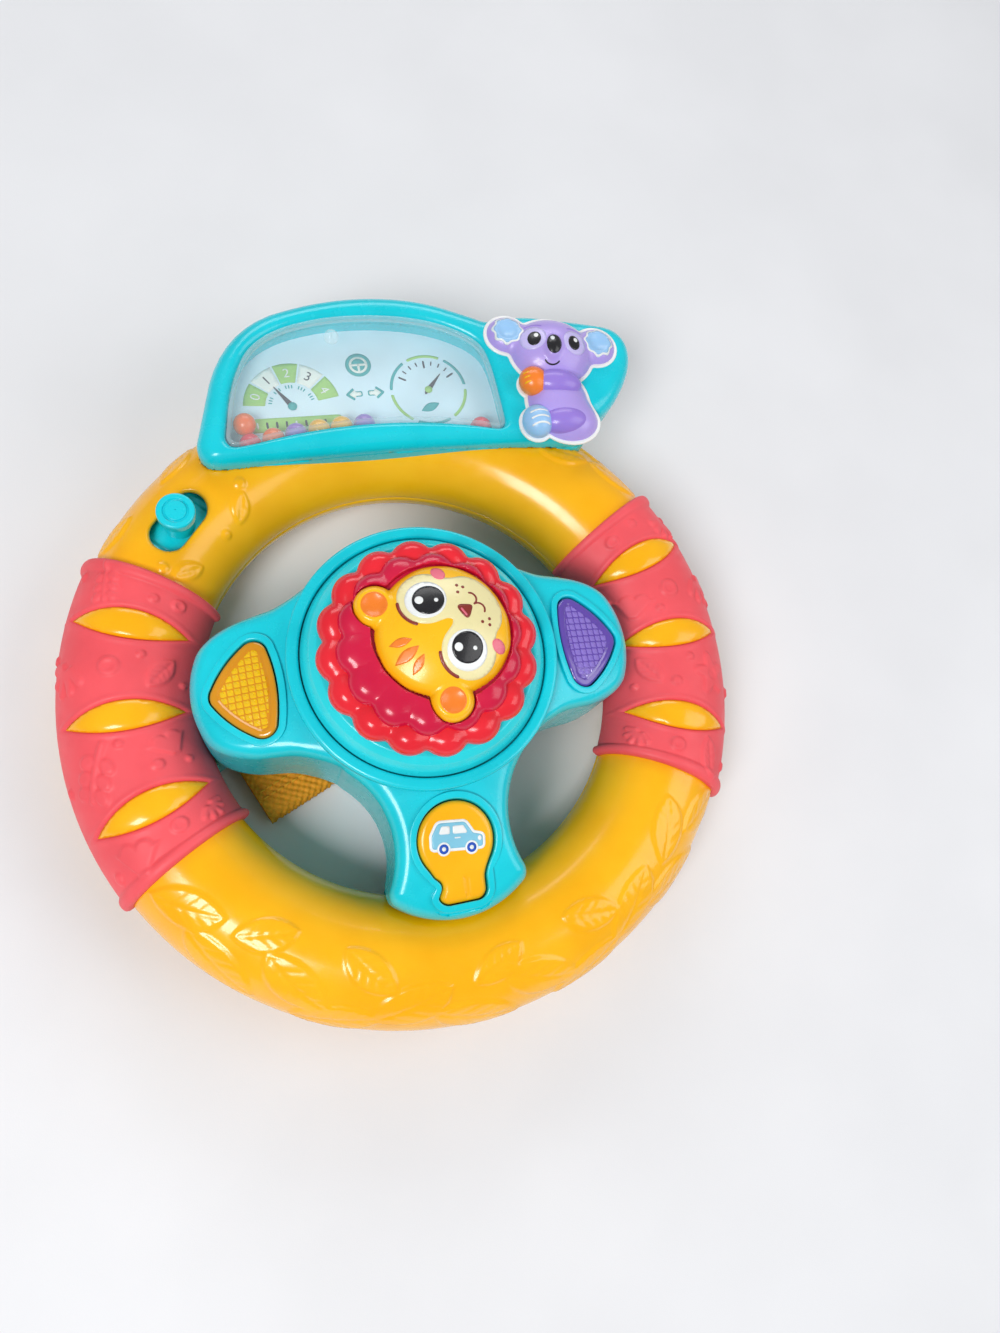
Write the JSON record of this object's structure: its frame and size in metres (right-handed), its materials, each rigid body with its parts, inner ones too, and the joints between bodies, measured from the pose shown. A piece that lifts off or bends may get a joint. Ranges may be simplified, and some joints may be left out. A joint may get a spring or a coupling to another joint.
{
  "type": "toy steering wheel",
  "caption": "Toy steering wheel for a child: ring rim with soft grips, spinning lion hub, light-up turn buttons, key button, slider, bead dash with a koala and a strap loop behind.",
  "frame": {"origin": "on the hub's axis, in the plane that the hub's flat back rests on", "axes": "+X to the driver's right, +Y from the hub towards the dash, +Z out of the face towards the child; the toy lies on its back"},
  "size_m": [0.2132, 0.2315, 0.0812],
  "materials": {
    "teal_plastic": "glossy moulded ABS",
    "spinner_plastic": "glossy moulded ABS",
    "yellow_plastic": "glossy moulded ABS with low relief",
    "coral_grip": "matt soft overmould with relief",
    "mane_red": "glossy",
    "mane_crimson": "glossy",
    "lion_yellow": "glossy, printed face",
    "amber_lens": "translucent prism lens",
    "violet_lens": "translucent prism lens",
    "koala_lavender": "painted moulding",
    "clear_window": "clear polystyrene",
    "printed_card": "printed card",
    "red_bead": "glossy",
    "orange_bead": "glossy",
    "yellow_bead": "glossy",
    "purple_bead": "glossy",
    "white_plastic": "moulded",
    "black_plastic": "moulded",
    "silicone": "translucent silicone",
    "board": "glass-fibre board",
    "steel": "zinc plated",
    "cell_wrap": "plain wrapped cell",
    "lead_wire": "insulated wire",
    "webbing": "woven webbing"
  },
  "bodies": {
    "wheel": {"rim_front_shell": "yellow_plastic", "rim_rear_shell": "yellow_plastic", "left_grip": "coral_grip", "right_grip": "coral_grip", "rim_screws": "steel", "slider_track": "white_plastic", "hub_front_casing": "teal_plastic", "hub_rear_casing": "teal_plastic", "casing_screws": "steel", "bezel_ring": "teal_plastic", "left_signal_collar": "teal_plastic", "right_signal_collar": "teal_plastic", "key_collar": "teal_plastic", "left_signal_rubber": "silicone", "right_signal_rubber": "silicone", "key_rubber": "silicone", "circuit_board": "board", "board_chips": "black_plastic", "signal_lamps": "white_plastic", "motion_sensor": "steel", "cam_switch": "black_plastic", "board_screws": "steel", "speaker": "black_plastic", "speaker_leads": "lead_wire", "cells": "cell_wrap", "battery_contacts": "steel", "battery_door": "teal_plastic", "door_screw": "steel", "power_switch_body": "black_plastic", "dash_front": "teal_plastic", "dash_rear": "teal_plastic", "dash_window": "clear_window", "dial_card": "printed_card", "koala": "koala_lavender", "dash_screws": "steel", "strap": "webbing", "strap_bar": "steel"},
    "spinner": {"spinner_dome": "spinner_plastic", "outer_mane": "mane_red", "inner_mane": "mane_crimson", "lion_face": "lion_yellow", "spinner_cam": "white_plastic", "spinner_screw": "steel"},
    "left_signal": {"left_signal_button": "amber_lens"},
    "right_signal": {"right_signal_button": "violet_lens"},
    "key": {"key_button": "yellow_plastic"},
    "slider": {"slider_knob": "teal_plastic", "slider_plate": "teal_plastic"},
    "power_switch": {"power_switch_knob": "white_plastic"},
    "bead_row": {"red_beads": "red_bead", "orange_beads": "orange_bead", "yellow_beads": "yellow_bead", "purple_beads": "purple_bead"},
    "stray_bead": {"loose_bead": "red_bead"}
  },
  "joints": [
    {"name": "lion_spin", "type": "hinge", "parent": "wheel", "child": "spinner", "pos_m": [0, 0, 0.05], "axis": [0, 0, 1], "continuous": true},
    {"name": "left_signal_press", "type": "slide", "parent": "wheel", "child": "left_signal", "axis": [0, 0, -1], "range_m": [0, 0.002], "stiffness_N_per_m": 800, "springref_m": -0.0006, "deforming": ["left_signal_rubber"]},
    {"name": "right_signal_press", "type": "slide", "parent": "wheel", "child": "right_signal", "axis": [0, 0, -1], "range_m": [0, 0.002], "stiffness_N_per_m": 800, "springref_m": -0.0006, "deforming": ["right_signal_rubber"]},
    {"name": "key_press", "type": "slide", "parent": "wheel", "child": "key", "axis": [0, 0, -1], "range_m": [0, 0.002], "stiffness_N_per_m": 800, "springref_m": -0.0006, "deforming": ["key_rubber"]},
    {"name": "rim_slide", "type": "slide", "parent": "wheel", "child": "slider", "axis": [-0.6756, -0.7373, 0], "range_m": [-0.005, 0.005]},
    {"name": "power_slide", "type": "slide", "parent": "wheel", "child": "power_switch", "axis": [1, 0, 0], "range_m": [-0.002, 0.002]},
    {"name": "bead_row_roll", "type": "slide", "parent": "wheel", "child": "bead_row", "axis": [0.98, 0.199, 0], "range_m": [0, 0.008]},
    {"name": "stray_bead_roll", "type": "slide", "parent": "wheel", "child": "stray_bead", "axis": [-0.973, 0.2308, 0], "range_m": [0, 0.01]}
  ]
}
